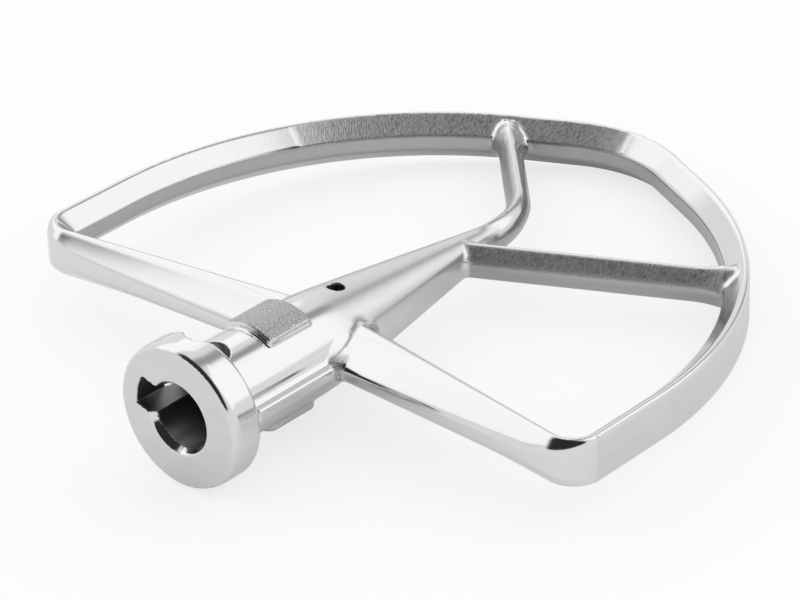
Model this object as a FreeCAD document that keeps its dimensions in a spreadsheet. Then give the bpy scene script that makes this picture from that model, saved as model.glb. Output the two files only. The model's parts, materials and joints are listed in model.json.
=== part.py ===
"""Flat beater of a stand mixer: one steel casting with a bayonet socket, in millimetres.

The casting is drawn flat and square to its own axes: the collar's face lies in the XZ plane, the stem
runs along +Y to the tip of the rim, and the parting plane of the mould is Z = 0. The body is then laid
down as it comes to rest, on the back edge of the collar and on the tip of the rim.
"""
import FreeCAD
import Part
import math
import os
import Sketcher

SIZES = {
    # Rim seen from above
    "overall_length": 135.5,
    "overall_width": 138.6,
    "side_end": 55.2,
    "flank_run": 12.9,
    "tip_radius": 28.8,
    "shoulder_radius": 6.5,
    "shoulder_end": 38.0,
    "arm_slope": 7.9,
    # Section of the rim
    "rim_height": 10.2,
    "rim_thickness": 5.0,
    "ridge_width": 0.7,
    "edge_break": 0.5,
    "rim_land": 3.4,
    # Arms
    "arm_front": 31.2,
    "arm_back": 6.5,
    "arm_land": 2.9,
    "shoulder_nose": 2.0,
    "shoulder_land": 3.6,
    # Struts
    "strut_height": 7.6,
    "strut_thickness": 5.2,
    "strut_ridge": 1.4,
    "strut_land": 1.6,
    "flare_width": 10.0,
    "flare_run": 7.0,
    "straight_start": 78.3,
    "straight_angle": 26.0,
    "bend_start": 90.2,
    "bend_radius": 20.0,
    "bend_angle": 44.0,
    # Hub and stem
    "collar_diameter": 29.2,
    "collar_length": 7.4,
    "face_break": 0.8,
    "face_taper": 2.2,
    "collar_break": 1.0,
    "neck_round": 3.0,
    "barrel_diameter": 20.0,
    "barrel_end": 36.0,
    "stem_end": 83.5,
    "fin_width": 23.6,
    "fin_front": 9.5,
    "fin_corner": 4.0,
    "pad_diameter": 22.6,
    "pad_width": 11.6,
    "pad_front": 19.4,
    "pad_length": 11.4,
    # Drive socket
    "bore_diameter": 13.2,
    "bore_depth": 47.0,
    "key_width": 6.2,
    "key_reach": 10.4,
    "key_turn": 74.0,
    "slot_width": 4.4,
    "catch_diameter": 6.4,
    "catch_centre": 10.4,
    "weep_diameter": 3.5,
    "weep_centre": 43.8,
}


class Size:
    """A number together with the expression that ties it to the sheet."""

    def __init__(self, value, text):
        self.value = value
        self.text = text

    def _join(self, other, sign, value):
        return Size(value, "({} {} {})".format(self.text, sign, as_size(other).text))

    def __add__(self, other):
        return self._join(other, "+", self.value + as_size(other).value)

    def __sub__(self, other):
        return self._join(other, "-", self.value - as_size(other).value)

    def __mul__(self, other):
        return self._join(other, "*", self.value * as_size(other).value)

    def __truediv__(self, other):
        return self._join(other, "/", self.value / as_size(other).value)

    def __neg__(self):
        return Size(-self.value, "(0 - {})".format(self.text))


def as_size(thing):
    if isinstance(thing, Size):
        return thing
    return Size(float(thing), repr(float(thing)))


def sine(angle):
    return Size(math.sin(math.radians(angle.value)), "sin({})".format(angle.text))


def cosine(angle):
    return Size(math.cos(math.radians(angle.value)), "cos({})".format(angle.text))


def tangent(angle):
    return sine(angle) / cosine(angle)


def root(square):
    return Size(math.sqrt(square.value), "sqrt({})".format(square.text))


def arc_tangent(ratio):
    return Size(math.degrees(math.atan(ratio.value)), "(atan({}) / 1 deg)".format(ratio.text))


def arc_sine(ratio):
    return Size(math.degrees(math.asin(ratio.value)), "(asin({}) / 1 deg)".format(ratio.text))


doc = FreeCAD.newDocument("flat_beater")
sheet = doc.addObject("Spreadsheet::Sheet", "sizes")
for row, (alias, number) in enumerate(SIZES.items(), start=1):
    sheet.set("A{}".format(row), alias.replace("_", " "))
    sheet.set("B{}".format(row), repr(number))
    sheet.setAlias("B{}".format(row), alias)
doc.recompute()


def size(alias):
    return Size(float(sheet.get(alias)), "sizes.{}".format(alias))


body = doc.addObject("PartDesign::Body", "flat_beater")
body.Label = "flat_beater"
PLANES = {feature.Role: feature for feature in body.Origin.OriginFeatures}


def new_sketch(name, plane, offset=None):
    """A sketch on one of the body's own planes, moved along the plane's normal by a bound offset."""
    sketch = body.newObject("Sketcher::SketchObject", name)
    sketch.AttachmentSupport = [(PLANES[plane], "")]
    sketch.MapMode = "FlatFace"
    if offset is not None:
        sketch.AttachmentOffset = FreeCAD.Placement(FreeCAD.Vector(0, 0, offset.value), FreeCAD.Rotation())
        sketch.setExpression("AttachmentOffset.Base.z", offset.text)
    return sketch


def bind(sketch, constraint, amount):
    """Adds a dimension and ties it to the sheet."""
    index = sketch.addConstraint(constraint)
    sketch.setExpression("Constraints[{}]".format(index), amount.text)


def pin(sketch, edge, end, x, y):
    """Ties one end of an edge to its two coordinates."""
    x, y = as_size(x), as_size(y)
    bind(sketch, Sketcher.Constraint("DistanceX", -1, 1, edge, end, x.value), x)
    bind(sketch, Sketcher.Constraint("DistanceY", -1, 1, edge, end, y.value), y)


def vector(x, y):
    return FreeCAD.Vector(as_size(x).value, as_size(y).value, 0)


def outline(sketch, corners):
    """A closed outline. A corner is (x, y), or (x, y, radius, turn) where an arc leaves it, turn 1 to the left.

    A fifth entry that is true makes that arc more than half a circle.
    """
    count = len(corners)
    ends = []
    for i, corner in enumerate(corners):
        start = vector(*corner[:2])
        finish = vector(*corners[(i + 1) % count][:2])
        if len(corner) == 2:
            sketch.addGeometry(Part.LineSegment(start, finish), False)
            ends.append((1, 2))
            continue
        radius, turn = corner[2:4]
        centre_side = -turn if corner[4:] == (True,) else turn
        chord = finish - start
        rise = math.sqrt(max(radius.value ** 2 - (chord.Length / 2) ** 2, 0.0))
        across = FreeCAD.Vector(-chord.y, chord.x, 0).normalize() * centre_side
        centre = (start + finish) / 2 + across * rise
        first, last = (start, finish) if turn > 0 else (finish, start)
        angles = [math.atan2(p.y - centre.y, p.x - centre.x) for p in (first, last)]
        circle = Part.Circle(centre, FreeCAD.Vector(0, 0, 1), radius.value)
        sketch.addGeometry(Part.ArcOfCircle(circle, *angles), False)
        ends.append((1, 2) if turn > 0 else (2, 1))
    for i, corner in enumerate(corners):
        after = (i + 1) % count
        sketch.addConstraint(Sketcher.Constraint("Coincident", i, ends[i][1], after, ends[after][0]))
        pin(sketch, i, ends[i][0], corner[0], corner[1])
        if len(corner) > 2:
            bind(sketch, Sketcher.Constraint("Radius", i, corner[2].value), corner[2])


def across_stem(name, y):
    """A sketch square to the stem, at the distance y from the collar's face, with X and Z as its axes."""
    return new_sketch(name, "XZ_Plane", -as_size(y))


def across_arm(name, x):
    """A sketch square to the X axis, with Y and Z as its axes."""
    return new_sketch(name, "YZ_Plane", as_size(x))


def feature(kind, name, profile, **settings):
    """Adds a feature to the body. A setting that is a Size is tied to the sheet."""
    made = body.newObject("PartDesign::" + kind, name)
    made.Profile = profile
    for key, setting in settings.items():
        if isinstance(setting, Size):
            made.setExpression(key, setting.text)
        else:
            setattr(made, key, setting)
    doc.recompute()
    return made


QUARTER_TURN = 90
length = size("overall_length")
half_width = size("overall_width") / 2
half_height = size("rim_height") / 2
collar_radius = size("collar_diameter") / 2
barrel_radius = size("barrel_diameter") / 2
face_break = size("face_break")
collar_break = size("collar_break")
collar_back = size("collar_length")
neck_round = size("neck_round")
edge_break = size("edge_break")
ridge_end = edge_break + size("ridge_width")

# Collar and barrel, turned about the stem's axis
hub_sketch = new_sketch("hub_profile", "XY_Plane")
outline(hub_sketch, [
    (0, 0),
    (collar_radius - face_break, 0),
    (collar_radius, size("face_taper")),
    (collar_radius, collar_back - collar_break),
    (collar_radius - collar_break, collar_back),
    (barrel_radius + neck_round, collar_back, neck_round, -1),
    (barrel_radius, collar_back + neck_round),
    (barrel_radius, size("barrel_end")),
    (0, size("barrel_end")),
])
feature("Revolution", "hub", hub_sketch, ReferenceAxis=(hub_sketch, ["V_Axis"]), Angle=360.0)


def stem_section(name, y, half_land_width, half_land_height, top):
    """An almost round section with a flat land at the mould's parting plane on either side."""
    rise = top - half_land_height
    radius = (rise * rise + half_land_width * half_land_width) / (rise * 2)
    deep = rise.value > half_land_width.value
    sketch = across_stem(name, y)
    outline(sketch, [
        (half_land_width, -half_land_height),
        (half_land_width, half_land_height, radius, 1, deep),
        (-half_land_width, half_land_height),
        (-half_land_width, -half_land_height, radius, 1, deep),
    ])
    return sketch


arm_land = size("arm_land") / 2
strut_half_height = size("strut_height") / 2
strut_half_thickness = size("strut_thickness") / 2
stem_root = stem_section("stem_root", size("barrel_end"), barrel_radius - 0.1, arm_land, barrel_radius)
stem_fork = stem_section("stem_fork", size("stem_end"), strut_half_thickness, arm_land, strut_half_height)
feature("AdditiveLoft", "stem", stem_root, Sections=[stem_fork], Ruled=True)

# Rim: half of it is swept from the tip to the shoulder
rim_path = new_sketch("rim_path", "XY_Plane")
shoulder_end = size("shoulder_end")
tip_radius = size("tip_radius")
side_end = size("side_end")
flank_run = size("flank_run")
flank_reach = length - tip_radius - side_end
flank_radius = (half_width * half_width + flank_reach * flank_reach - tip_radius * tip_radius
                - flank_run * flank_run) / ((half_width - tip_radius) * 2)
flank_centre = vector(half_width - flank_radius, side_end)
tip_centre = vector(0, length - tip_radius)
between = tip_centre - flank_centre
flank_turn = math.atan2(between.y, between.x) - math.atan2(flank_run.value, (flank_radius - tip_radius).value)
up = FreeCAD.Vector(0, 0, 1)
outward = FreeCAD.Vector(math.cos(flank_turn), math.sin(flank_turn), 0)
rim_path.addGeometry(Part.LineSegment(vector(half_width, shoulder_end), vector(half_width, side_end)), False)
rim_path.addGeometry(Part.ArcOfCircle(Part.Circle(flank_centre, up, flank_radius.value), 0, flank_turn), False)
rim_path.addGeometry(Part.LineSegment(flank_centre + outward * flank_radius.value,
                                      tip_centre + outward * tip_radius.value), False)
rim_path.addGeometry(Part.ArcOfCircle(Part.Circle(tip_centre, up, tip_radius.value), flank_turn, math.pi / 2),
                     False)
for i in range(3):
    rim_path.addConstraint(Sketcher.Constraint("Tangent", i, 2, i + 1, 1))
rim_path.addConstraint(Sketcher.Constraint("Vertical", 0))
rim_path.addConstraint(Sketcher.Constraint("PointOnObject", 3, 3, -2))
pin(rim_path, 0, 1, half_width, shoulder_end)
bind(rim_path, Sketcher.Constraint("DistanceY", -1, 1, 0, 2, side_end.value), side_end)
bind(rim_path, Sketcher.Constraint("Radius", 1, flank_radius.value), flank_radius)
bind(rim_path, Sketcher.Constraint("Radius", 3, tip_radius.value), tip_radius)
pin(rim_path, 3, 2, 0, length)


def frame_section(sketch, reference, inward, nose, nose_land, ridge, back, back_land):
    """Eight-cornered section: outer nose, ridge, inner nose, and the same below the parting plane.

    Distances are measured from the reference line, and inward is 1 or -1 along the sketch's own X axis.
    """
    ridge_start, ridge_stop = ridge
    upper = [(nose, nose_land), (ridge_start, half_height), (ridge_stop, half_height), (back, back_land)]
    lower = [(along, -as_size(height)) for along, height in reversed(upper)]
    outline(sketch, [(reference + as_size(along) * inward, height) for along, height in upper + lower])
    return sketch


rim_shape = dict(nose=as_size(0), nose_land=half_height - edge_break, ridge=(edge_break, ridge_end),
                 back=size("rim_thickness"), back_land=size("rim_land") / 2)
tip_section = frame_section(across_arm("tip_section", 0), length, -1, **rim_shape)
rim = feature("AdditivePipe", "rim", tip_section, Spine=(rim_path, ["Edge4", "Edge3", "Edge2", "Edge1"]))

# Shoulder: the rim's flat outer wall narrows to the nose of the arm as it goes round the corner
shoulder_radius = size("shoulder_radius")
arm_slope = size("arm_slope")
shoulder_x = half_width - shoulder_radius * (sine(arm_slope) + 1)
shoulder_y = shoulder_end - shoulder_radius * cosine(arm_slope)
shoulder_path = new_sketch("shoulder_path", "XY_Plane")
corner_centre = vector(half_width - shoulder_radius, shoulder_end)
shoulder_path.addGeometry(Part.ArcOfCircle(Part.Circle(corner_centre, up, shoulder_radius.value),
                                           math.radians(-90 - arm_slope.value), 0), False)
pin(shoulder_path, 0, 1, shoulder_x, shoulder_y)
pin(shoulder_path, 0, 2, half_width, shoulder_end)
bind(shoulder_path, Sketcher.Constraint("Radius", 0, shoulder_radius.value), shoulder_radius)

arm_tip = frame_section(across_arm("arm_tip", shoulder_x), shoulder_y, 1, -size("shoulder_nose"),
                        size("shoulder_land") / 2, (edge_break, ridge_end), size("rim_thickness"),
                        size("rim_land") / 2)
rim_end = frame_section(across_stem("rim_end", shoulder_end), half_width, -1, **rim_shape)
shoulder = feature("AdditivePipe", "shoulder", arm_tip, Spine=(shoulder_path, ["Edge1"]), Sections=[rim_end],
                   Transformation="Multisection")

# Arm: from the shoulder to the middle of the hub, where its front nose stands furthest out
arm_start = barrel_radius / 2
arm_reference = shoulder_y + (shoulder_x - arm_start) * tangent(arm_slope)
arm_root = frame_section(across_arm("arm_root", arm_start), arm_reference, 1, size("arm_front") - arm_reference,
                         arm_land, (edge_break, ridge_end), size("arm_back"), arm_land)
arm = feature("AdditiveLoft", "arm", arm_root, Sections=[arm_tip], Ruled=True)

other_half = body.newObject("PartDesign::Mirrored", "other_half")
other_half.Originals = [rim, shoulder, arm]
other_half.MirrorPlane = (PLANES["YZ_Plane"], [""])
body.Tip = other_half
doc.recompute()

# Fin along the parting plane of the hub, rounded into the noses of the arms
fin_edge = size("fin_width") / 2
fin_corner = size("fin_corner")
arm_front = size("arm_front")
fin_sketch = new_sketch("fin_plan", "XY_Plane")
outline(fin_sketch, [
    (-fin_edge, size("fin_front")),
    (fin_edge, size("fin_front")),
    (fin_edge, arm_front - fin_corner, fin_corner, -1),
    (fin_edge + fin_corner, arm_front),
    (fin_edge + fin_corner, size("barrel_end")),
    (-fin_edge - fin_corner, size("barrel_end")),
    (-fin_edge - fin_corner, arm_front, fin_corner, -1),
    (-fin_edge, arm_front - fin_corner),
])
feature("Pad", "fin", fin_sketch, Midplane=True, Length=size("arm_land"))


def strut_section(sketch, centre, widen):
    """Eight-cornered section of a strut, the same on both sides, widened where the plane cuts it at a slant."""
    ridge = size("strut_ridge") / 2 * widen
    nose = strut_half_thickness * widen
    land = size("strut_land") / 2
    right = [(nose, land), (ridge, strut_half_height)]
    upper = right + [(-along, height) for along, height in reversed(right)]
    lower = [(along, -height) for along, height in reversed(upper)]
    outline(sketch, [(centre + along, height) for along, height in upper + lower])
    return sketch


def run_to_rim(x, y, along_x, along_y, side):
    """Distance from a point, along a direction, to the middle of the rim's flank on one side."""
    centre_x = (half_width - flank_radius) * side
    across = x - centre_x
    ahead = y - side_end
    reach = flank_radius - size("rim_thickness") / 2
    nearest = across * along_x + ahead * along_y
    return root(nearest * nearest - across * across - ahead * ahead + reach * reach) - nearest


def flare(name, x, y, angle, side):
    """Widens the end of a strut at (x, y) in the rim. Both sections are parallel to the rim there."""
    across = (x - (half_width - flank_radius) * side) * side
    square = arc_tangent((y - side_end) / across)
    slant = cosine(square - angle)
    flare_run = size("flare_run") * side
    sections = []
    for end, back, widen in (("start", flare_run, as_size(1)),
                             ("end", as_size(0), size("flare_width") / size("strut_thickness"))):
        sketch = new_sketch("{}_{}".format(name, end), "YZ_Plane")
        place_x = x - back * cosine(angle)
        place_y = y - back * sine(angle) * side
        sketch.AttachmentOffset = FreeCAD.Placement(FreeCAD.Vector(place_y.value, 0, place_x.value),
                                                    FreeCAD.Rotation(FreeCAD.Vector(0, side, 0), square.value))
        sketch.setExpression("AttachmentOffset.Base.x", place_y.text)
        sketch.setExpression("AttachmentOffset.Base.z", place_x.text)
        sketch.setExpression("AttachmentOffset.Rotation.Angle", square.text)
        sections.append(strut_section(sketch, as_size(0), widen / slant))
    feature("AdditiveLoft", name, sections[0], Sections=sections[1:], Ruled=True)


# Straight strut: from the fork to the rim on the right
straight_angle = size("straight_angle")
straight_start = size("straight_start")
straight_run = run_to_rim(as_size(0), straight_start, cosine(straight_angle), sine(straight_angle), 1)
straight_x = straight_run * cosine(straight_angle)
straight_y = straight_start + straight_run * sine(straight_angle)
straight_path = new_sketch("straight_path", "XY_Plane")
straight_path.addGeometry(Part.LineSegment(vector(0, straight_start), vector(straight_x, straight_y)), False)
pin(straight_path, 0, 1, 0, straight_start)
pin(straight_path, 0, 2, straight_x, straight_y)
straight_profile = strut_section(across_arm("straight_profile", 0), straight_start,
                                 as_size(1) / cosine(straight_angle))
feature("AdditivePipe", "straight_strut", straight_profile, Spine=(straight_path, ["Edge1"]))
flare("straight_flare", straight_x, straight_y, straight_angle, 1)

# Curved strut: on from the stem, then bent over to the rim on the left
stem_end = size("stem_end")
bend_start = size("bend_start")
bend_radius = size("bend_radius")
bend_angle = size("bend_angle")
bend_x = bend_radius * (cosine(bend_angle) - 1)
bend_y = bend_start + bend_radius * sine(bend_angle)
curved_run = run_to_rim(bend_x, bend_y, -sine(bend_angle), cosine(bend_angle), -1)
curved_x = bend_x - curved_run * sine(bend_angle)
curved_y = bend_y + curved_run * cosine(bend_angle)
curved_path = new_sketch("curved_path", "XY_Plane")
bend_circle = Part.Circle(vector(-bend_radius, bend_start), up, bend_radius.value)
curved_path.addGeometry(Part.LineSegment(vector(0, stem_end), vector(0, bend_start)), False)
curved_path.addGeometry(Part.ArcOfCircle(bend_circle, 0, math.radians(bend_angle.value)), False)
curved_path.addGeometry(Part.LineSegment(vector(bend_x, bend_y), vector(curved_x, curved_y)), False)
for i in range(2):
    curved_path.addConstraint(Sketcher.Constraint("Tangent", i, 2, i + 1, 1))
curved_path.addConstraint(Sketcher.Constraint("Vertical", 0))
pin(curved_path, 0, 1, 0, stem_end)
bind(curved_path, Sketcher.Constraint("DistanceY", -1, 1, 0, 2, bend_start.value), bend_start)
bind(curved_path, Sketcher.Constraint("Radius", 1, bend_radius.value), bend_radius)
pin(curved_path, 2, 2, curved_x, curved_y)
curved_profile = strut_section(across_stem("curved_profile", stem_end), as_size(0), as_size(1))
feature("AdditivePipe", "curved_strut", curved_profile, Spine=(curved_path, ["Edge1", "Edge2", "Edge3"]))
flare("curved_flare", curved_x, curved_y, -(bend_angle - QUARTER_TURN), -1)

# Pads on the top and the underside of the hub, one block bounded by a larger cylinder
pad_radius = size("pad_diameter") / 2
pad_half_width = size("pad_width") / 2
pad_corner = root(pad_radius * pad_radius - pad_half_width * pad_half_width)
pad_sketch = across_stem("pad_profile", size("pad_front"))
outline(pad_sketch, [
    (pad_half_width, -pad_corner),
    (pad_half_width, pad_corner, pad_radius, 1),
    (-pad_half_width, pad_corner),
    (-pad_half_width, -pad_corner, pad_radius, 1),
])
feature("Pad", "pads", pad_sketch, Reversed=True, Length=size("pad_length"))

# Drive socket, cut last because the stem and the arms run through it
bore_sketch = across_stem("bore_profile", 0)
bore_radius = size("bore_diameter") / 2
bore_sketch.addGeometry(Part.Circle(vector(0, 0), up, bore_radius.value), False)
bore_sketch.addConstraint(Sketcher.Constraint("Coincident", 0, 3, -1, 1))
bind(bore_sketch, Sketcher.Constraint("Radius", 0, bore_radius.value), bore_radius)
feature("Pocket", "bore", bore_sketch, Length=size("bore_depth"))

# Keyway for the shaft's cross pin, through the collar
key_angle = size("key_turn") + QUARTER_TURN
key_reach = size("key_reach")
key_half = size("key_width") / 2
key_along = root(key_reach * key_reach - key_half * key_half)


def key_point(along, aside):
    along, aside = as_size(along), as_size(aside)
    return (along * cosine(key_angle) - aside * sine(key_angle), along * sine(key_angle) + aside * cosine(key_angle))


key_sketch = across_stem("key_profile", 0)
outline(key_sketch, [
    key_point(0, -key_half),
    key_point(key_along, -key_half) + (key_reach, 1),
    key_point(key_along, key_half),
    key_point(0, key_half),
])
slot_back = collar_back + size("slot_width")
feature("Pocket", "keyway", key_sketch, Length=slot_back)

# Slot behind the collar, turned from the catch on top round to the keyway
slot_sketch = across_arm("slot_profile", 0)
outline(slot_sketch, [
    (collar_back, bore_radius / 2),
    (slot_back, bore_radius / 2),
    (slot_back, collar_radius),
    (collar_back, collar_radius),
])
feature("Groove", "slot", slot_sketch, ReferenceAxis=(slot_sketch, ["H_Axis"]), Reversed=True,
        Angle=size("key_turn") + arc_sine(key_half / key_reach))


def hole_in_top(name, y, diameter):
    """A round hole from the socket up through the top of the hub."""
    sketch = new_sketch(name + "_plan", "XY_Plane")
    radius = diameter / 2
    sketch.addGeometry(Part.Circle(vector(0, y), up, radius.value), False)
    pin(sketch, 0, 3, 0, y)
    bind(sketch, Sketcher.Constraint("Radius", 0, radius.value), radius)
    feature("Pocket", name, sketch, Reversed=True, Length=collar_radius)


hole_in_top("catch", size("catch_centre"), size("catch_diameter"))
hole_in_top("weep_hole", size("weep_centre"), size("weep_diameter"))

# At rest: the casting leans until the collar's back edge and the tip of the rim share one level
drop = collar_radius - half_height
contact = collar_back - collar_break
rest_tilt = arc_tangent(drop / (length - edge_break - contact))
lift = collar_radius * cosine(rest_tilt) + contact * sine(rest_tilt)
front = (face_break - collar_radius) * sine(rest_tilt)
tip = length * cosine(rest_tilt) + (half_height - edge_break) * sine(rest_tilt)
body.Placement = FreeCAD.Placement(FreeCAD.Vector(0, 0, 0), FreeCAD.Rotation(FreeCAD.Vector(-1, 0, 0), 1))
body.setExpression("Placement.Rotation.Angle", rest_tilt.text)
body.setExpression("Placement.Base.y", ((front + tip) / -2).text)
body.setExpression("Placement.Base.z", lift.text)
doc.recompute()

for item in doc.Objects:
    if "Invalid" in item.State or "Error" in item.State:
        raise RuntimeError("{} failed: {}".format(item.Name, item.State))
if body.Shape.isNull() or not body.Shape.isValid():
    raise RuntimeError("the casting has no valid shape")
os.makedirs("parts", exist_ok=True)
body.Shape.exportStep("parts/{}.step".format(body.Label))
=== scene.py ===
# %% [markdown]
# # A cast flat beater
# The beater is one steel casting, polished by hand after it leaves the mould. There is nothing to
# assemble, so the whole lesson is about one skin: how thick bars run into one another with soft
# fillets, and how polished, satin and rough-ground metal sit side by side on the same piece.
#
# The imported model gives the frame: where the part lies and how big it may be.

# %% Load the frame
import bpy
import json
import math
import numpy as np
from mathutils import Matrix, Vector


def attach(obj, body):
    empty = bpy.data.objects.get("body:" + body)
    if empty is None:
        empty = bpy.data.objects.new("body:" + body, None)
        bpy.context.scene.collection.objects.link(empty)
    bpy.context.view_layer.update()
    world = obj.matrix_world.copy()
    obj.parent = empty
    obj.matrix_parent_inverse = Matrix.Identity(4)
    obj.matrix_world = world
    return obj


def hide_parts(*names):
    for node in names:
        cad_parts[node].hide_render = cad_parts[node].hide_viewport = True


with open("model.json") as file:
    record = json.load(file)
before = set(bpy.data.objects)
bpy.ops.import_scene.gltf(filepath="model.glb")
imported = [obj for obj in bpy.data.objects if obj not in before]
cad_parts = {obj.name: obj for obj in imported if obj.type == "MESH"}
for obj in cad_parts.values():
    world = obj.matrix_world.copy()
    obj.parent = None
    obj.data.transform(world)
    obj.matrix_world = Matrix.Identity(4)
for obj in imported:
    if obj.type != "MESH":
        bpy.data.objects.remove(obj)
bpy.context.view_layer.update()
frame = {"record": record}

# %% [markdown]
# ## The beater's own axes
# The casting lies on a table, tipped a few degrees because its collar is fatter than its rim. It is
# far easier to describe square to itself, so x runs across the frame, y from the collar's face along
# the stem and z through the thickness. The record's socket mount says where those axes are on the
# table: its axis points out of the socket's mouth.

# %% From the beater's axes to the table
MM = 0.001
socket = frame["record"]["mounts"][0]
stem_way = -Vector(socket["axis"]).normalized()
across_way = Vector((1, 0, 0))
up_way = across_way.cross(stem_way)
face_centre = Vector(socket["pos_m"]) - stem_way * (socket["dims"]["length_mm"] / 2 * MM)
to_table = Matrix.Translation(face_centre) @ Matrix((across_way, stem_way, up_way)).transposed().to_4x4()
print("Tipped by", round(math.degrees(math.asin(-stem_way.z)), 2), "degrees")

# %% [markdown]
# ## Describing a casting by distance
# A casting is hard to build from polygons, because every bar has to be welded to the next by a
# fillet that changes as it goes round. A distance field turns that round: each bar is a function that
# says how far a point is outside its skin (negative inside), and two bars join by one formula that
# puts a round fillet between them. The skin is drawn only once, at the end.
#
# `round_off` keeps what lies inside both shapes and rounds the edge between them, and `oval_off` does
# the same with a quarter of an oval. `fillet` keeps what lies inside either and fills the inner corner.

# %% Ways to join distances
def round_off(a, b, radius):
    near_a, near_b = np.maximum(a + radius, 0), np.maximum(b + radius, 0)
    return np.minimum(np.maximum(a, b), -radius) + np.hypot(near_a, near_b)


def oval_off(a, b, reach_a, reach_b):
    in_a, in_b = np.maximum(a / reach_a + 1, 0), np.maximum(b / reach_b + 1, 0)
    far = np.hypot(in_a, in_b)
    steep = np.hypot(in_a / reach_a, in_b / reach_b) / np.maximum(far, 1e-9)
    return np.where(far > 0, (far - 1) / np.maximum(steep, 1e-9), np.maximum(a, b))


def fillet(a, b, radius):
    near_a, near_b = np.maximum(radius - a, 0), np.maximum(radius - b, 0)
    return np.maximum(np.minimum(a, b), radius) - np.hypot(near_a, near_b)


def slope(along, height, start, finish):
    """Distance from the line through two points of a section, positive above it."""
    run, fall = finish[0] - start[0], start[1] - finish[1]
    return ((along - start[0]) * fall + (height - start[1]) * run) / np.hypot(run, fall)


def between(share, start, finish):
    return start + (finish - start) * share


def ease(value, start, finish):
    """0 before start, 1 after finish, smooth between."""
    share = np.clip((value - start) / (finish - start), 0, 1)
    return share * share * (3 - 2 * share)


print("A square corner, rounded by 1 mm:", float(round_off(np.float64(-0.2), np.float64(-0.2), 1.0)))

# %% [markdown]
# ## The rim
# Seen from above the rim is two straight sides, two long flanks and a tight round tip, each tangent
# to the next. `inside_rim` measures how far a point is inside that outline. The bar itself has the
# same section all the way: a flat outer wall, a narrow ridge at top and bottom, a slanting facet and
# a flat inner land. Round the far end a belt has ground the upper facet a little deeper, and where it
# stopped there is a fine step. `bar` makes the section from a few sizes, because the arms use it too.

# %% Rim sizes in millimetres
HALF_WIDTH = 69.3
LENGTH = 135.5
SIDE_END = 55.2
FLANK_RUN = 12.9
TIP_RADIUS = 28.8
HALF_HEIGHT = 5.1
RIM_THICKNESS = 5.0
RIM_LAND = 1.7
RIDGE_START = 0.5
RIDGE_END = 1.2
EDGE_SOFTNESS = 0.5
flank_reach = LENGTH - TIP_RADIUS - SIDE_END
FLANK_RADIUS = ((HALF_WIDTH**2 + flank_reach**2 - TIP_RADIUS**2 - FLANK_RUN**2)
                / (2 * (HALF_WIDTH - TIP_RADIUS)))
FLANK_X = HALF_WIDTH - FLANK_RADIUS
TIP_Y = LENGTH - TIP_RADIUS
FLANK_TURN = math.atan2(flank_reach, -FLANK_X) - math.atan2(FLANK_RUN, FLANK_RADIUS - TIP_RADIUS)
print("Flank radius", round(FLANK_RADIUS, 1), "mm")
print("Flank turned through", round(math.degrees(FLANK_TURN), 1), "degrees")


# %% Rim
def inside_rim(x, y):
    x = np.abs(x)
    cos, sin = math.cos(FLANK_TURN), math.sin(FLANK_TURN)
    past_flank = (y - SIDE_END) * cos - (x - FLANK_X) * sin > 0
    past_run = (y - TIP_Y) * cos - x * sin > 0
    side = HALF_WIDTH - x
    flank = FLANK_RADIUS - np.hypot(x - FLANK_X, y - SIDE_END)
    run = FLANK_RADIUS - (x - FLANK_X) * cos - (y - SIDE_END) * sin
    tip = TIP_RADIUS - np.hypot(x, y - TIP_Y)
    return np.where(y < SIDE_END, side, np.where(past_run, tip, np.where(past_flank, run, flank)))


def bar(inside, height, size):
    """A bar with its ridge on the outline, a nose outside it and a back inside it."""
    skin = round_off(-inside - size["nose"], height - HALF_HEIGHT, RIDGE_START)
    front = slope(-inside, height, (-RIDGE_START, HALF_HEIGHT), (size["nose"], size["nose_land"]))
    back = slope(inside, height, (size["ridge_end"], HALF_HEIGHT), (size["back"], size["back_land"]))
    skin = round_off(skin, front, size["nose_edge"])
    skin = round_off(skin, back, EDGE_SOFTNESS)
    return round_off(skin, inside - size["back"], EDGE_SOFTNESS)


SIDE = {"nose": 0.0, "nose_land": HALF_HEIGHT - RIDGE_START, "back": RIM_THICKNESS, "back_land": RIM_LAND,
        "ridge_end": RIDGE_END, "nose_edge": EDGE_SOFTNESS}
SHOULDER_END = 38.0
RIM_OVERLAP = 0.8
RIM_MIDDLE = 75.0
BELT_FROM, BELT_TO = 0.03, 1.26  # radians round the rim from its tip
BELT_STOP = 0.015
BELT_DEPTH = 0.12


def turn_round(x, y):
    """How far round the rim a point is, from the tip, as an angle."""
    return np.arctan2(-x, y - RIM_MIDDLE)


def under_belt(x, y):
    """1 where the belt has been, 0 elsewhere."""
    turn = turn_round(x, y)
    started = ease(turn, BELT_FROM - 2 * BELT_STOP, BELT_FROM)
    finished = ease(turn, BELT_TO - BELT_STOP, BELT_TO + BELT_STOP)
    return started * (1 - finished)


def rim(x, y, z):
    inside, height = inside_rim(x, y), np.abs(z)
    facet = slope(inside, z, (RIDGE_END, HALF_HEIGHT), (RIM_THICKNESS, RIM_LAND))
    ground = facet + BELT_DEPTH * under_belt(x, y)
    return np.maximum(np.maximum(bar(inside, height, SIDE), ground), SHOULDER_END - RIM_OVERLAP - y)


print("The middle of the bar at the tip is inside by",
      round(-float(rim(0.0, LENGTH - RIM_THICKNESS / 2, 0.0)), 2), "mm")


# %% [markdown]
# ## Arms and shoulders
# The arms reach from the hub to the sides. At the hub the front nose of an arm stands far out and
# its top is one broad sloping facet. Towards the shoulder the nose draws in and its land grows, until
# round the corner it has become the flat outer wall of the rim. So the section's sizes are
# worked out afresh at each point: `reach` runs from 0 at the hub to 1 at the shoulder, and `corner`
# from 0 just before the bend to 1 at its end.

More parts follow.
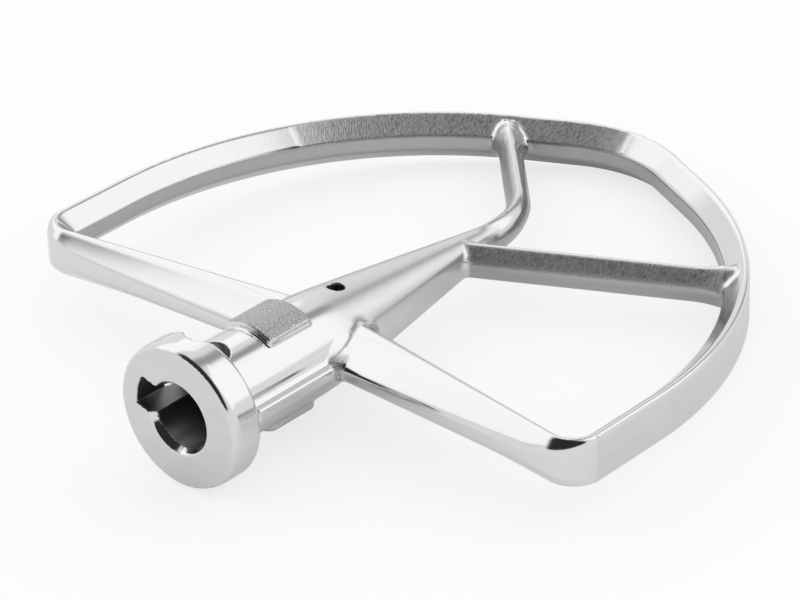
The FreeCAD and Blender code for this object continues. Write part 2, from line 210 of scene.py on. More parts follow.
# %% Arm sizes in millimetres
ARM_SLOPE = math.radians(7.9)
SHOULDER_RADIUS = 6.5
ARM_ROOT = 5.0
ARM_FRONT = 31.2
SHOULDER = {"nose": 2.0, "nose_land": 1.8, "back": RIM_THICKNESS, "back_land": RIM_LAND,
            "ridge_end": RIDGE_END, "nose_edge": 0.7}
CORNER_EARLY = 5.0
CORNER_RUN = SHOULDER_RADIUS * (math.pi / 2 + ARM_SLOPE)
shoulder_x = HALF_WIDTH - SHOULDER_RADIUS * (1 + math.sin(ARM_SLOPE))
shoulder_y = SHOULDER_END - SHOULDER_RADIUS * math.cos(ARM_SLOPE)
root_nose = shoulder_y + (shoulder_x - ARM_ROOT) * math.tan(ARM_SLOPE) - ARM_FRONT
ROOT = {"nose": root_nose, "nose_land": 1.45, "back": 6.5, "back_land": 1.45,
        "ridge_end": 1.9, "nose_edge": 1.0}
print("The arm's nose stands out", round(root_nose, 2), "mm at the hub")
print("and", SHOULDER["nose"], "mm at the shoulder")


# %% Arms
def arms(x, y, z):
    x, height = np.abs(x), np.abs(z)
    cos, sin = math.cos(ARM_SLOPE), math.sin(ARM_SLOPE)
    from_x, from_y = x - (HALF_WIDTH - SHOULDER_RADIUS), y - SHOULDER_END
    past_arm = from_x * cos - from_y * sin
    round_corner = SHOULDER_RADIUS - np.hypot(from_x, from_y)
    along_arm = (y - shoulder_y - (shoulder_x - x) * math.tan(ARM_SLOPE)) * cos
    inside = np.where(past_arm < 0, along_arm, np.where(from_y < 0, round_corner, HALF_WIDTH - x))
    round_bend = SHOULDER_RADIUS * np.arctan2(past_arm, -from_x * sin - from_y * cos)
    run = np.where(past_arm < 0, past_arm, round_bend)
    corner = np.where((past_arm < 0) | (from_y < 0), ease(run, -CORNER_EARLY, CORNER_RUN), 1)
    reach = np.clip((x - ARM_ROOT) / (shoulder_x - ARM_ROOT), 0, 1)
    now = {key: between(corner, between(reach, ROOT[key], SHOULDER[key]), SIDE[key]) for key in SIDE}
    skin = bar(inside, height, now)
    return np.where(past_arm < 0, skin, np.maximum(skin, from_y - RIM_OVERLAP))


print("The ridge at the shoulder is inside by", round(-float(arms(shoulder_x, shoulder_y, 0.0)), 2), "mm")


# %% [markdown]
# ## Hub and stem
# The collar is a plain thick disc and the hub behind it a barrel, both turned about the stem. The
# stem thins from the barrel to the fork and sinks into the strut there: almost round, with a flat land
# left by the mould's parting plane along either side. A thin fin runs along the same plane in front of
# the arms.

# %% Hub and stem sizes in millimetres
COLLAR_RADIUS = 14.6
COLLAR_LENGTH = 7.4
FACE_EDGE = 0.9
FACE_EDGE_RUN = 2.4
COLLAR_ROUND = 1.2
NECK_FILLET = 3.0
BARREL_RADIUS = 10.0
BARREL_END = 36.0
STEM_EASE = 5.0
STEM_END = 83.5
STEM_SINKS = 95.0
STEM_LAND = 1.45
STRUT_HALF = 2.6
STRUT_HEIGHT = 3.8
FIN_EDGE = 11.8
FIN_FRONT = 9.5
FIN_SOFTNESS = 0.7
print("Collar", 2 * COLLAR_RADIUS, "mm across and", COLLAR_LENGTH, "mm long")


# %% Hub and stem
def collar(x, y, z):
    around = np.hypot(x, z) - COLLAR_RADIUS
    return round_off(oval_off(around, -y, FACE_EDGE, FACE_EDGE_RUN), y - COLLAR_LENGTH, COLLAR_ROUND)


def stem(x, y, z):
    past_barrel = (np.hypot(y - BARREL_END, STEM_EASE) + y - BARREL_END) / 2
    share = np.minimum(past_barrel, STEM_SINKS - BARREL_END) / (STEM_END - BARREL_END)
    half_width = between(share, BARREL_RADIUS - 0.1, STRUT_HALF)
    top = between(share, BARREL_RADIUS, STRUT_HEIGHT)
    rise = top - STEM_LAND
    radius = (rise**2 + half_width**2) / (2 * rise)
    around = np.hypot(x, np.maximum(np.abs(z) - (top - radius), 0)) - radius
    skin = round_off(around, np.abs(x) - half_width, EDGE_SOFTNESS)
    return np.maximum(skin, np.maximum(y - STEM_SINKS, COLLAR_LENGTH / 2 - y))


def fin(x, y, z):
    skin = round_off(np.abs(x) - FIN_EDGE, FIN_FRONT - y, FIN_SOFTNESS)
    skin = round_off(skin, np.abs(z) - STEM_LAND, FIN_SOFTNESS)
    return np.maximum(skin, y - BARREL_END)


print("The stem's axis at the fork is inside by", round(-float(stem(0.0, STEM_END, 0.0)), 2), "mm")


# %% [markdown]
# ## Struts
# Two struts leave the fork. One runs straight to the right flank, the other carries the stem on and
# bends over to the left. Both have the same lozenge section: a ridge on top, two facets and a narrow
# land. Close to the rim they widen and rise into a flare, and they end in the middle of the rim's bar.

# %% Strut sizes in millimetres
STRUT_RIDGE = 0.55
STRUT_LAND = 0.8
FLARE_RUN = 6.0
FLARE = 0.55
FLARE_RISE = 0.2
CURVED_START = 74.0
CURVED_SOFTNESS = 1.0
STRAIGHT_START = 78.3
STRAIGHT_TURN = math.radians(26.0)
BEND_START = 90.2
BEND_RADIUS = 20.0
BEND_TURN = math.radians(44.0)
print("Struts", 2 * STRUT_HALF, "mm wide and", 2 * STRUT_HEIGHT, "mm high")


# %% Struts
def strut(aside, z, inside, softness):
    near = np.clip(1 - (inside - RIM_THICKNESS) / FLARE_RUN, 0, 1)
    aside = np.abs(aside) / (1 + FLARE * near**2)
    height = np.abs(z) / (1 + FLARE_RISE * near**2)
    facet = slope(aside, height, (STRUT_RIDGE, STRUT_HEIGHT), (STRUT_HALF, STRUT_LAND))
    skin = round_off(height - STRUT_HEIGHT, facet, softness)
    skin = round_off(skin, aside - STRUT_HALF, softness)
    return np.maximum(skin, RIM_THICKNESS / 2 - inside)


def straight_strut(x, y, z):
    cos, sin = math.cos(STRAIGHT_TURN), math.sin(STRAIGHT_TURN)
    along = x * cos + (y - STRAIGHT_START) * sin
    aside = (y - STRAIGHT_START) * cos - x * sin
    return np.maximum(strut(aside, z, inside_rim(x, y), EDGE_SOFTNESS), -along)


def curved_strut(x, y, z):
    cos, sin = math.cos(BEND_TURN), math.sin(BEND_TURN)
    from_x, from_y = x + BEND_RADIUS, y - BEND_START
    bend = np.hypot(from_x, from_y) - BEND_RADIUS
    last_run = from_x * cos + from_y * sin - BEND_RADIUS
    aside = np.where(from_y < 0, x, np.where(from_y * cos - from_x * sin < 0, bend, last_run))
    return np.maximum(strut(aside, z, inside_rim(x, y), CURVED_SOFTNESS), CURVED_START - y)


print("The curved strut's axis at its bend is inside by",
      round(-float(curved_strut(0.0, BEND_START, 0.0)), 2), "mm")


# %% [markdown]
# ## Pads and drive socket
# A low pad stands on the top of the barrel and another on its underside. The socket is what makes the
# part fit a mixer: a blind bore for the shaft, a keyway for the cross pin, a slot behind the collar in
# which the pin turns, the catch where it comes to rest, which bites into the collar's back, and a weep
# hole at the far end. The bore's mouth is countersunk a little, so that the shaft finds its way in.

# %% Pad and socket sizes in millimetres
PAD_RADIUS = 11.3
PAD_HALF = 5.8
PAD_FRONT = 19.4
PAD_END = 30.8
PAD_BEVEL = 0.7
BORE_RADIUS = socket["dims"]["r_mm"]
BORE_DEPTH = socket["dims"]["length_mm"]
KEY_HALF = 3.1
KEY_REACH = 10.4
KEY_TURN = math.radians(164.0)
LEAD_IN, LEAD_IN_DEPTH = 0.8, 1.4
SLOT_END = 11.8
SLOT_STOP = KEY_TURN + math.asin(KEY_HALF / KEY_REACH)
CATCH_X, CATCH_Y, CATCH_RADIUS = -0.4, 9.3, 4.1
WEEP_Y, WEEP_RADIUS = 43.8, 1.75
print("Bore", 2 * BORE_RADIUS, "mm across and", BORE_DEPTH, "mm deep")


# %% Pads and drive socket
def pads(x, y, z):
    skin = round_off(np.hypot(x, z) - PAD_RADIUS, np.abs(x) - PAD_HALF, PAD_BEVEL)
    return round_off(skin, np.maximum(PAD_FRONT - y, y - PAD_END), PAD_BEVEL)


def lead_in(x, y, z):
    return np.hypot(x, z) - BORE_RADIUS - LEAD_IN * (1 - y / LEAD_IN_DEPTH)


def drive_socket(x, y, z):
    around = np.hypot(x, z)
    bore = np.maximum(np.minimum(around - BORE_RADIUS, lead_in(x, y, z)), y - BORE_DEPTH)
    along = x * math.cos(KEY_TURN) + z * math.sin(KEY_TURN)
    aside = z * math.cos(KEY_TURN) - x * math.sin(KEY_TURN)
    key = np.maximum(np.abs(aside) - KEY_HALF, around - KEY_REACH)
    key = np.maximum(key, np.maximum(-along, y - SLOT_END))
    before_catch = x
    past_key = -x * math.sin(SLOT_STOP) + z * math.cos(SLOT_STOP)
    slot = np.maximum(np.maximum(COLLAR_LENGTH - y, y - SLOT_END), np.maximum(before_catch, past_key))
    slot = np.maximum(slot, around - COLLAR_RADIUS)
    catch = np.maximum(np.hypot(x - CATCH_X, y - CATCH_Y) - CATCH_RADIUS, -z)
    weep = np.maximum(np.hypot(x, y - WEEP_Y) - WEEP_RADIUS, -z)
    return np.minimum(np.minimum(np.minimum(bore, key), np.minimum(slot, catch)), weep)


print("Wall between bore and barrel:", round(BARREL_RADIUS - BORE_RADIUS, 2), "mm")


# %% [markdown]
# ## One casting
# Now the pieces are poured together. Each pair gets its own fillet: generous in the fork and small
# round the pads. In the fork it fades towards the ridges, so that they stay straight. The socket is
# taken away last, with a slightly broken edge.

# %% Casting
PAD_FILLET = 0.5
FIN_FILLET = 1.6
FORK_FILLET = 2.4
SPINE_FILLET = 0.8
RIDGE_SHARE = 0.25
ARM_FILLET = 2.0
JOINT_FILLET = 0.9
SOCKET_BREAK = 0.35


def bars(x, y, z):
    return np.minimum(rim(x, y, z), arms(x, y, z))


def spine(x, y, z):
    hub = fillet(collar(x, y, z), stem(x, y, z), NECK_FILLET)
    hub = fillet(hub, pads(x, y, z), PAD_FILLET)
    hub = fillet(hub, fin(x, y, z), FIN_FILLET)
    low_down = 1 - (1 - RIDGE_SHARE) * ease(np.abs(z), STRUT_LAND, STRUT_HEIGHT)
    hub = fillet(hub, curved_strut(x, y, z), SPINE_FILLET * low_down)
    return fillet(hub, straight_strut(x, y, z), FORK_FILLET * low_down)


def poured(x, y, z):
    return fillet(bars(x, y, z), spine(x, y, z), np.where(y < SIDE_END, ARM_FILLET, JOINT_FILLET))


def casting(x, y, z):
    return round_off(poured(x, y, z), -drive_socket(x, y, z), SOCKET_BREAK)


half_way_in = (BORE_RADIUS + BARREL_RADIUS) / 2
print("Half way through the barrel's wall:", round(float(casting(half_way_in, BARREL_END / 2, 0.0)), 2), "mm")

# %% [markdown]
# ## Drawing the skin
# The field is sampled on a grid of small cells. Each cell that the skin passes through gets one
# vertex, and each grid edge that crosses the skin gets one quad between its four cells (this is known
# as surface nets). The vertices are then slid along the field's slope until they lie on the skin to
# within a hair, so flat facets come out flat and reflections stay clean.

# %% Sample the field
CELL = 0.4
MARGIN = 3 * CELL
low = np.array([-HALF_WIDTH, 0, -COLLAR_RADIUS]) - MARGIN
high = np.array([HALF_WIDTH, LENGTH, COLLAR_RADIUS]) + MARGIN
axes = [np.arange(a, b, CELL) for a, b in zip(low, high)]
field = np.concatenate([casting(slab[:, None, None], axes[1][None, :, None], axes[2][None, None, :])
                        for slab in np.array_split(axes[0], 24)])
print("Grid", field.shape, "inside:", round(float((field < 0).mean()) * 100, 2), "percent")


# %% Surface nets
def crossed_cells(field):
    """The cells that the skin passes through, and the mean of the skin's crossings of each one's edges."""
    inside = field < 0
    corners = [(i, j, k) for i in (0, 1) for j in (0, 1) for k in (0, 1)]
    count = sum(inside[tuple(slice(c, n - 1 + c) for c, n in zip(corner, field.shape))].astype(np.int8)
                for corner in corners)
    cells = np.argwhere((count > 0) & (count < 8))
    value = {c: field[tuple((cells + c).T)] for c in corners}
    total, hits = np.zeros((len(cells), 3)), np.zeros(len(cells))
    for a in corners:
        for axis in range(3):
            if a[axis]:
                continue
            b = tuple(1 if n == axis else c for n, c in enumerate(a))
            crossing = (value[a] < 0) != (value[b] < 0)
            share = value[a][crossing] / (value[a][crossing] - value[b][crossing])
            total[crossing] += np.array(a)
            total[crossing, axis] += share
            hits[crossing] += 1
    return cells, total / hits[:, None]


cells, offsets = crossed_cells(field)
points = low + (cells + offsets) * CELL
print("Cells on the skin:", len(cells))


# %% Quads between the cells
def quads_between(field, cells):
    number = np.full(field.shape, -1, np.int32)
    number[tuple(cells.T)] = np.arange(len(cells))
    inside = field < 0
    quads = []
    for axis in range(3):
        first = np.moveaxis(inside, axis, 0)
        numbers = np.moveaxis(number, axis, 0)
        i, j, k = np.nonzero(first[1:, 1:, 1:] != first[:-1, 1:, 1:])
        four = [numbers[i, j, k], numbers[i, j + 1, k], numbers[i, j + 1, k + 1], numbers[i, j, k + 1]]
        around = np.stack(four, 1)
        outward = first[i, j + 1, k + 1]
        if axis == 1:
            outward = ~outward
        quads.append(np.where(outward[:, None], around, around[:, ::-1]))
    return np.concatenate(quads)


quads = quads_between(field, cells)
print("Quads:", len(quads), "all joined:", bool((quads >= 0).all()))


# %% Slide the vertices on to the skin
def field_slope(points, step=0.01):
    """Which way the field rises at each point, as unit vectors, and how steeply."""
    rise = np.empty_like(points)
    for axis in range(3):
        ahead, behind = points.copy(), points.copy()
        ahead[:, axis] += step
        behind[:, axis] -= step
        rise[:, axis] = (casting(*ahead.T) - casting(*behind.T)) / (2 * step)
    steep = np.maximum(np.linalg.norm(rise, axis=1), 0.2)
    return rise / steep[:, None], steep


def slide(points, times=3):
    for _ in range(times):
        way, steep = field_slope(points)
        move = np.clip(casting(*points.T) / steep, -CELL / 2, CELL / 2)
        points = points - way * move[:, None]
    return points


points = slide(points)
print("Largest miss after sliding:", round(float(np.abs(casting(*points.T)).max()), 4), "mm")

# %% [markdown]
# ## From points to a Blender mesh
# Flat facets have far more vertices than they need. Blender's Decimate modifier collapses them and
# leaves the fillets fine. It also pulls some vertices off the skin, so they slide back once more. The
# shading normals are then read from the field itself, so a polished face reflects as smoothly as if
# it had no facets at all.

# %% Mesh
MOST_TRIANGLES = 190000


def to_row(points):
    turn = np.array(to_table.to_3x3())
    return points * MM @ turn.T + np.array(to_table.translation)


def to_beater(points):
    turn = np.array(to_table.to_3x3())
    return (points - np.array(to_table.translation)) @ turn / MM


fine = bpy.data.meshes.new("fine_skin")
fine.from_pydata(to_row(points).tolist(), [], quads.tolist())
beater = bpy.data.objects.new("beater_casting", fine)
bpy.context.scene.collection.objects.link(beater)
thin_out = beater.modifiers.new("thin out the flats", "DECIMATE")
thin_out.ratio = MOST_TRIANGLES / (2 * len(quads))
mesh = bpy.data.meshes.new_from_object(beater.evaluated_get(bpy.context.evaluated_depsgraph_get()))
mesh.name = "beater_casting"
beater.modifiers.clear()
beater.data = mesh
bpy.data.meshes.remove(fine)
corners = np.empty(len(mesh.vertices) * 3)
mesh.vertices.foreach_get("co", corners)
skin_points = slide(to_beater(corners.reshape(-1, 3)))
skin_normals = field_slope(skin_points)[0]
mesh.vertices.foreach_set("co", to_row(skin_points).ravel())
mesh.shade_smooth()
mesh.normals_split_custom_set_from_vertices((skin_normals @ np.array(to_table.to_3x3()).T).tolist())
mesh.calc_loop_triangles()
print("Triangles:", len(mesh.loop_triangles))

# %% [markdown]
# ## Where each finish lies
# One casting, six finishes. The arms, collar and hub are buffed bright. The collar's face, the rim's
# outer wall and the stem are satin. The slanting facets of the far rim and of the straight strut keep
# the marks of a coarse belt, drawn across the bar. The narrow inner lands and the faces that turn down
# are as the mould left them, and their colour is painted darker: partly the duller cast skin, partly
# painted shade for the shadowed floor that they mirror. The pads are blasted, and so are the corners
# at the hub that no buffing wheel gets into. The socket is drilled, and its inside is painted dark:
# partly the rough drilled steel, partly painted shade inside the bore. Each finish gets a mask, a number
# from 0 to 1 at every vertex, worked out from the same distances that made the shape. `run` holds how
# far a point is along and across its bar, in millimetres, so that marks can follow the bar round its
# bends.

# %% Masks for the pieces
x, y, z = skin_points.T
nx, ny, nz = skin_normals.T
STEM_DULLS = (34.0, 40.0)


def on(piece, fades_from, full_at):
    """1 on a piece's own skin, fading to 0 where a fillet stands off it, in millimetres."""
    return ease(-piece(x, y, z), -fades_from, -full_at)


on_collar = on(collar, 0.3, 0.05)
on_rim = on(rim, 0.6, 0.1)
on_straight = on(straight_strut, 0.4, 0.1)
on_curved = on(curved_strut, 0.4, 0.1)
on_stem = on(stem, 0.5, 0.1) * ease(y, *STEM_DULLS)
filled = np.minimum(bars(x, y, z), spine(x, y, z)) - poured(x, y, z)
print("Vertices on the rim:", int((on_rim > 0.5).sum()))
print("Vertices on the struts:", int((on_straight + on_curved > 0.5).sum()))

# %% [markdown]
# The pairs of numbers below say where a mask starts and where it is full. `SLANTED` and `LEVEL` are
# heights of the skin's normal, which tell a slanting facet from an upright land and a flat top.

# %% Brushed bars, and as-cast lands with painted shade
SLANTED, LEVEL = (0.25, 0.45), (0.86, 0.97)
PAST_RIDGE = (0.9, 1.3)
IN_FILLET = (0.02, 0.2)
TURNED_LEFT = (0.1, 0.3)
BELT_FULL, BELT_LOSS = 1.0, 0.7
BELT_START, BELT_START_END = 0.6, 0.15
BELT_TRACE = 0.06
CURVED_SHARE = 0.6
turn = turn_round(x, y)
facet = ease(nz, *SLANTED) * (1 - ease(nz, *LEVEL))
land = 1 - ease(nz, *SLANTED)
inner = ease(inside_rim(x, y), *PAST_RIDGE)
belted = under_belt(x, y) * (1 - BELT_LOSS * ease(turn, BELT_FULL, BELT_TO))
belted = belted * between(ease(turn, BELT_FROM, BELT_START_END), BELT_START, 1)
brushed = np.maximum(on_rim * inner * between(belted, BELT_TRACE, 1), on_straight)
brushed = np.maximum(brushed, CURVED_SHARE * on_curved * ease(-nx, *TURNED_LEFT))
brushed = brushed * facet * (1 - ease(filled, *IN_FILLET))
# As-cast lands and lower facets: their colour is darkened further on, partly for the duller cast skin and
# partly as painted shade, standing in for the shadowed floor that they mirror.
cast_and_shaded = np.maximum(np.maximum(on_rim * inner, on_straight), on_curved) * land
print("Brushed:", round(float(brushed.mean()), 3), "as cast:", round(float(cast_and_shaded.mean()), 3))

# %% Satin, blasted and drilled places
FACING_OUT = (0.9, 0.99)
FACE_DEPTH = 1.0
DEEP_CORNER, CORNER_TOP = (0.03, 0.25), (1.5, 3.5)
UNDER_SKIN = (0.1, 0.5)
outer_wall = on_rim * (1 - inner) * (1 - ease(np.abs(nz), *SLANTED))
face = on_collar * ease(-ny, *FACING_OUT) * ease(FACE_DEPTH - y, 0.0, 0.8)
satin = np.maximum(np.maximum(outer_wall, face), on_stem)
on_pad = ease(np.hypot(x, z) - PAD_RADIUS, -0.3, -0.1) * ease(-np.abs(pads(x, y, z)), -0.1, -0.02)
corner_of_hub = ease(filled, *DEEP_CORNER) * (1 - ease(np.abs(z), *CORNER_TOP))
corner_of_hub = corner_of_hub * (1 - ease(y, SIDE_END - 5, SIDE_END))
blasted = np.maximum(on_pad, corner_of_hub)
on_lead_in = ease(-np.abs(lead_in(x, y, z)), -0.25, -0.1)
on_lead_in = on_lead_in * (1 - ease(y, LEAD_IN_DEPTH - 0.1, LEAD_IN_DEPTH + 0.1))
# Inside the socket: rough drilled steel whose colour is painted dark further on, partly for the drilled
# finish and partly as painted shade inside the bore.
drilled_and_shaded = ease(-poured(x, y, z), *UNDER_SKIN) * (1 - on_lead_in)
print("Satin:", round(float(satin.mean()), 3), "blasted:", round(float(blasted.mean()), 3))

# %% Masks on the mesh
RIM_RUN = 65.0
LAND_STRETCH = 1.3
round_hub = (on_stem > 0.5) | (y < SHOULDER_END)
along_straight = x * math.cos(STRAIGHT_TURN) + (y - STRAIGHT_START) * math.sin(STRAIGHT_TURN)
along = np.where(on_straight > 0.5, along_straight, -RIM_RUN * turn)
along = np.where(round_hub, y, along)
across = np.where(round_hub, BARREL_RADIUS * np.arctan2(x, z), z * LAND_STRETCH)
masks = {"brushed": brushed, "cast_and_shaded": cast_and_shaded, "satin": satin, "blasted": blasted, "drilled_and_shaded": drilled_and_shaded}
for name, mask in masks.items():
    mesh.attributes.new(name, "FLOAT", "POINT").data.foreach_set("value", mask.astype(np.float32))
mesh.attributes.new("run", "FLOAT_VECTOR", "POINT").data.foreach_set(
    "vector", np.stack([along, across, z], 1).astype(np.float32).ravel())
print("Masks on the mesh:", list(masks))

# %% [markdown]
# ## Steel
# All the finishes are the same metal, so there is one material, and the masks turn its roughness, its
# colour and its relief. A belt leaves long narrow scratches: noise stretched along the stroke, which
# is turned against the bar. Satin has much finer lines, the blasted pad a fine even grain. `HEIGHTS`
# and the dullness table say how deep and how dark each finish is; the flat darkening of the as-cast
# lands and of the bore is partly painted shade.

# %% Steel
POLISHED = 0.13
ROUGHNESS = {"satin": 0.30, "cast_and_shaded": 0.26, "brushed": 0.5, "blasted": 0.45, "drilled_and_shaded": 0.4}
UNEVEN = 0.04
HEIGHTS = {"brushed": 0.8, "satin": 0.1, "polished": 0.3, "blasted": 1.2}
# How dark each finish makes the steel, towards the dark end colour; for the as-cast lands and the bore this
# darkening is partly painted shade.
DULLNESS_AND_SHADE = {"brushed": 0.65, "cast_and_shaded": 0.5, "blasted": 0.8, "satin": 0.12, "drilled_and_shaded": 0.85}
BRIGHT_STEEL, DULL_AND_SHADED_STEEL = (0.72, 0.71, 0.70, 1), (0.15, 0.15, 0.15, 1)
STROKE_ANGLE = math.radians(25)
RELIEF = 0.05 * MM
steel = bpy.data.materials.new("buffed_and_brushed_steel")
steel.use_nodes = True
nodes, links = steel.node_tree.nodes, steel.node_tree.links
shader = nodes["Principled BSDF"]
shader.inputs["Metallic"].default_value = 1.0


def mask_output(name):
    node = nodes.new("ShaderNodeAttribute")
    node.attribute_name = name
    return node.outputs["Vector"] if name == "run" else node.outputs["Fac"]


def calculate(operation, first, second):
    node = nodes.new("ShaderNodeMath")
    node.operation = operation
    for socket_in, value in zip(node.inputs, (first, second)):
        if isinstance(value, (int, float)):
            socket_in.default_value = value
        else:
            links.new(value, socket_in)
    return node.outputs["Value"]


def sharpen(value, start, finish):
    node = nodes.new("ShaderNodeMapRange")
    node.inputs["From Min"].default_value, node.inputs["From Max"].default_value = start, finish
    links.new(value, node.inputs["Value"])
    return node.outputs["Result"]


def marks(scale, turned=0.0, detail=3.0):
    """Noise in the bar's own millimetres: features are 1/scale long in each direction."""
    placed, noise = nodes.new("ShaderNodeMapping"), nodes.new("ShaderNodeTexNoise")
    placed.vector_type = "POINT"
    placed.inputs["Rotation"].default_value = (0, 0, turned)
    stretched = nodes.new("ShaderNodeMapping")
    stretched.inputs["Scale"].default_value = scale
    noise.inputs["Scale"].default_value = 1.0
    noise.inputs["Detail"].default_value = detail
    links.new(mask_output("run"), placed.inputs["Vector"])
    links.new(placed.outputs["Vector"], stretched.inputs["Vector"])
    links.new(stretched.outputs["Vector"], noise.inputs["Vector"])
    return noise.outputs["Fac"]


print("Steel set up with relief of", RELIEF / MM, "mm")

# %% Marks on the steel
belt = sharpen(marks((4.2, 0.75, 1.0), turned=STROKE_ANGLE), 0.35, 0.65)
lines = marks((0.12, 5.0, 1.0))
patches = marks((0.16, 0.3, 0.3), detail=2.0)
grain = sharpen(marks((4.0, 4.0, 4.0), detail=2.0), 0.3, 0.7)
amount = {name: mask_output(name) for name in masks}
height = calculate("MULTIPLY", patches, calculate("ADD", amount["cast_and_shaded"], HEIGHTS["polished"]))
for name, mark in {"brushed": belt, "satin": lines, "blasted": grain}.items():
    there = calculate("MULTIPLY", amount[name], HEIGHTS[name])
    height = calculate("ADD", height, calculate("MULTIPLY", mark, there))
relief = nodes.new("ShaderNodeBump")
relief.inputs["Distance"].default_value = RELIEF
links.new(height, relief.inputs["Height"])
links.new(relief.outputs["Normal"], shader.inputs["Normal"])
print("Depth of the marks:", {name: round(RELIEF / MM * height, 3) for name, height in HEIGHTS.items()}, "mm")

# %% Roughness and colour
roughness = calculate("ADD", POLISHED - UNEVEN / 2, calculate("MULTIPLY", patches, UNEVEN))
for name, there in ROUGHNESS.items():
    roughness = calculate("ADD", roughness, calculate("MULTIPLY", amount[name], there - POLISHED))
links.new(roughness, shader.inputs["Roughness"])
# The flat darkening of the as-cast lands and of the bore: partly their duller steel, partly painted shade.
dull_and_shade = calculate("MULTIPLY", amount["cast_and_shaded"], DULLNESS_AND_SHADE["cast_and_shaded"])
dull_and_shade = calculate("ADD", dull_and_shade, calculate("MULTIPLY", amount["drilled_and_shaded"], DULLNESS_AND_SHADE["drilled_and_shaded"]))
for name, mark in {"brushed": belt, "blasted": grain, "satin": patches}.items():
    there = calculate("MULTIPLY", amount[name], DULLNESS_AND_SHADE[name])
    dull_and_shade = calculate("ADD", dull_and_shade, calculate("MULTIPLY", mark, there))
tint = nodes.new("ShaderNodeValToRGB")
tint.color_ramp.elements[0].color = BRIGHT_STEEL
tint.color_ramp.elements[1].color = DULL_AND_SHADED_STEEL
links.new(dull_and_shade, tint.inputs["Fac"])
links.new(tint.outputs["Color"], shader.inputs["Base Color"])
mesh.materials.clear()
mesh.materials.append(steel)
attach(beater, "root")
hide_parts("flat_beater")
print("Steel has", len(nodes), "nodes")

# %% [markdown]
# ## Floor
# The beater lies on a white sweep, a matt surface with a shadow under the metal. In the photograph that
# shadow is almost burnt out, so the camera sees mostly plain white. Mirrored in the metal the sweep
# keeps more of its shadow, which is what darkens the undersides and gives the lands their shape.

# %% Floor
FLOOR = 3.0
PAPER = (0.95, 0.95, 0.95, 1)
PLAIN_WHITE = {"Is Camera Ray": 0.72, "Is Glossy Ray": 0.1}
floor_mesh = bpy.data.meshes.new("floor")
floor_corners = [(-FLOOR, -FLOOR, 0), (FLOOR, -FLOOR, 0), (FLOOR, FLOOR, 0), (-FLOOR, FLOOR, 0)]
floor_mesh.from_pydata(floor_corners, [], [(0, 1, 2, 3)])
floor = bpy.data.objects.new("floor", floor_mesh)
bpy.context.scene.collection.objects.link(floor)
white = bpy.data.materials.new("white_sweep")
white.use_nodes = True
nodes, links = white.node_tree.nodes, white.node_tree.links
nodes.clear()
matt, glow = nodes.new("ShaderNodeBsdfDiffuse"), nodes.new("ShaderNodeEmission")
both, out = nodes.new("ShaderNodeMixShader"), nodes.new("ShaderNodeOutputMaterial")
matt.inputs["Color"].default_value = PAPER
ray = nodes.new("ShaderNodeLightPath")
share = 0.0
for kind, white_share in PLAIN_WHITE.items():
    share = calculate("ADD", calculate("MULTIPLY", ray.outputs[kind], white_share), share)
links.new(share, both.inputs["Fac"])
links.new(matt.outputs[0], both.inputs[1])
links.new(glow.outputs[0], both.inputs[2])
links.new(both.outputs[0], out.inputs["Surface"])
floor_mesh.materials.append(white)
print("Floor", 2 * FLOOR, "m square")

# %% [markdown]
# ## The studio
# Polished metal has no look of its own: it shows the room. Product photographers stand such a part
# between large white screens and leave the room behind the camera dark, so that every facet turned
# that way goes grey or black and the form can be read. Here the world is that room. Its brightness
# depends only on the direction: white all round, with a grey seam between the two screens at the back
# and a dark gap overhead that widens towards the front. Each edge of the gap is a plane, and how far a
# direction lies beyond it is one dot product.

# %% Studio
ROOM_WHITE = 0.95
ROOM_DARK = 0.03
GAP_EDGES = [((0.847, -0.339, 0.41), -0.15, 0.1),
             ((-0.072, -0.95, 0.107), -0.08, 0.16),
             ((0.0, 0.0, 1.0), 0.2, 0.32)]
SEAM_SIDE = (0.9986, 0.0523, 0.0)
SEAM_EDGE = (0.05, 0.2)
SEAM_GREY = 0.4
FRONT = (0.0, -1.0, 0.0)
FRONT_EDGE = (-0.2, 0.0)
world = bpy.data.worlds.new("studio")
bpy.context.scene.world = world
world.use_nodes = True
nodes, links = world.node_tree.nodes, world.node_tree.links
way = nodes.new("ShaderNodeTexCoord").outputs["Generated"]


def beyond(normal):
    node = nodes.new("ShaderNodeVectorMath")
    node.operation = "DOT_PRODUCT"
    node.inputs[1].default_value = normal
    links.new(way, node.inputs[0])
    return node.outputs["Value"]


def rise(value, start, finish, low, high):
    node = nodes.new("ShaderNodeMapRange")
    node.interpolation_type = "SMOOTHSTEP"
    for name, number in zip(("From Min", "From Max", "To Min", "To Max"), (start, finish, low, high)):
        node.inputs[name].default_value = number
    links.new(value, node.inputs["Value"])
    return node.outputs["Result"]


gap = 1.0
for normal, start, finish in GAP_EDGES:
    gap = calculate("MULTIPLY", rise(beyond(normal), start, finish, 0, 1), gap)
screens = rise(calculate("ABSOLUTE", beyond(SEAM_SIDE), 0), *SEAM_EDGE, SEAM_GREY, ROOM_WHITE)
screens = calculate("MAXIMUM", screens, rise(beyond(FRONT), *FRONT_EDGE, 0, ROOM_WHITE))
room = calculate("MULTIPLY", screens, rise(gap, 0, 1, 1, 0))
room = calculate("ADD", room, calculate("MULTIPLY", gap, ROOM_DARK))
print("Dark gap with", len(GAP_EDGES), "edges")

# %% [markdown]
# The sweep itself is lit evenly, and the camera sees plain white beyond it, so those two kinds of ray do
# not get the dark gap.

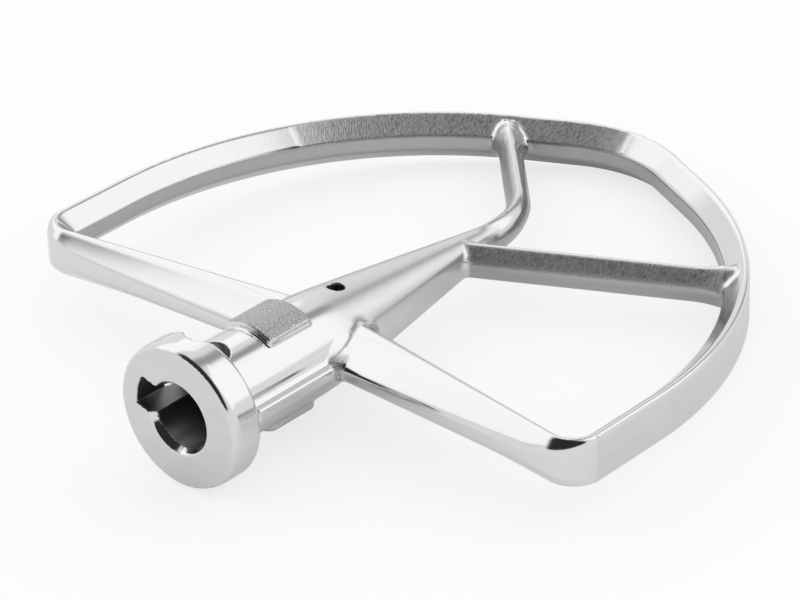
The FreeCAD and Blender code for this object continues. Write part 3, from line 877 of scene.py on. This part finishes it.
# %% Studio for the sweep and the camera
EVEN_LIGHT = {"Is Camera Ray": 1.0, "Is Diffuse Ray": 0.85}
ray = nodes.new("ShaderNodeLightPath")
for kind, level in EVEN_LIGHT.items():
    room = calculate("MAXIMUM", room, calculate("MULTIPLY", ray.outputs[kind], level))
links.new(room, nodes["Background"].inputs["Strength"])
nodes["Background"].inputs["Color"].default_value = (1, 1, 1, 1)
bpy.context.scene.view_settings.view_transform = "Standard"
print("Even light for", list(EVEN_LIGHT))

# %% [markdown]
# ## Softboxes
# Two large soft lamps stand on either side, just outside what the camera sees. Their reflections are
# the brightest bands on the metal, and they throw the faint shadow towards the viewer.

# %% Softboxes
SOFTBOXES = {"left": (176, 42, 1.3, 2.2, 0.8), "right": (42, 38, 1.3, 1.3, 1.3)}
SOFTBOX_BRIGHTNESS = 0.35
for name, (bearing, height, distance, width, depth) in SOFTBOXES.items():
    lamp = bpy.data.lights.new(name + "_softbox", "AREA")
    lamp.shape = "RECTANGLE"
    lamp.size, lamp.size_y = width, depth
    lamp.energy = SOFTBOX_BRIGHTNESS * math.pi * width * depth
    stand = bpy.data.objects.new(name + "_softbox", lamp)
    bpy.context.scene.collection.objects.link(stand)
    a, e = math.radians(bearing), math.radians(height)
    stand.location = distance * Vector((math.cos(e) * math.cos(a), math.cos(e) * math.sin(a), math.sin(e)))
    stand.rotation_euler = stand.location.to_track_quat("Z", "Y").to_euler()
    print(name, "softbox at", [round(c, 2) for c in stand.location])

# %% [markdown]
# ## Camera
# The photograph was taken from the right of the socket, looking down at about 32 degrees with a long
# lens, the camera turned a little about its own axis.

# %% Camera
CAMERA_AT = Vector((0.45844, -0.47912, 0.42398))
LOOKS_AT = Vector((0.00175, -0.00757, 0.01))
CAMERA_ROLL = math.radians(5.267)
LENS, SENSOR = 181.08, 36.0
NEAREST = 0.01
camera = bpy.data.objects.new("camera", bpy.data.cameras.new("camera"))
bpy.context.scene.collection.objects.link(camera)
camera.data.lens = LENS
camera.data.sensor_width = SENSOR
camera.data.clip_start = NEAREST
facing = (LOOKS_AT - CAMERA_AT).to_track_quat("-Z", "Y").to_matrix()
rolled = facing @ Matrix.Rotation(-CAMERA_ROLL, 3, "Z")
camera.matrix_world = Matrix.Translation(CAMERA_AT) @ rolled.to_4x4()
bpy.context.scene.camera = camera
print("Camera", round((LOOKS_AT - CAMERA_AT).length, 3), "m away")
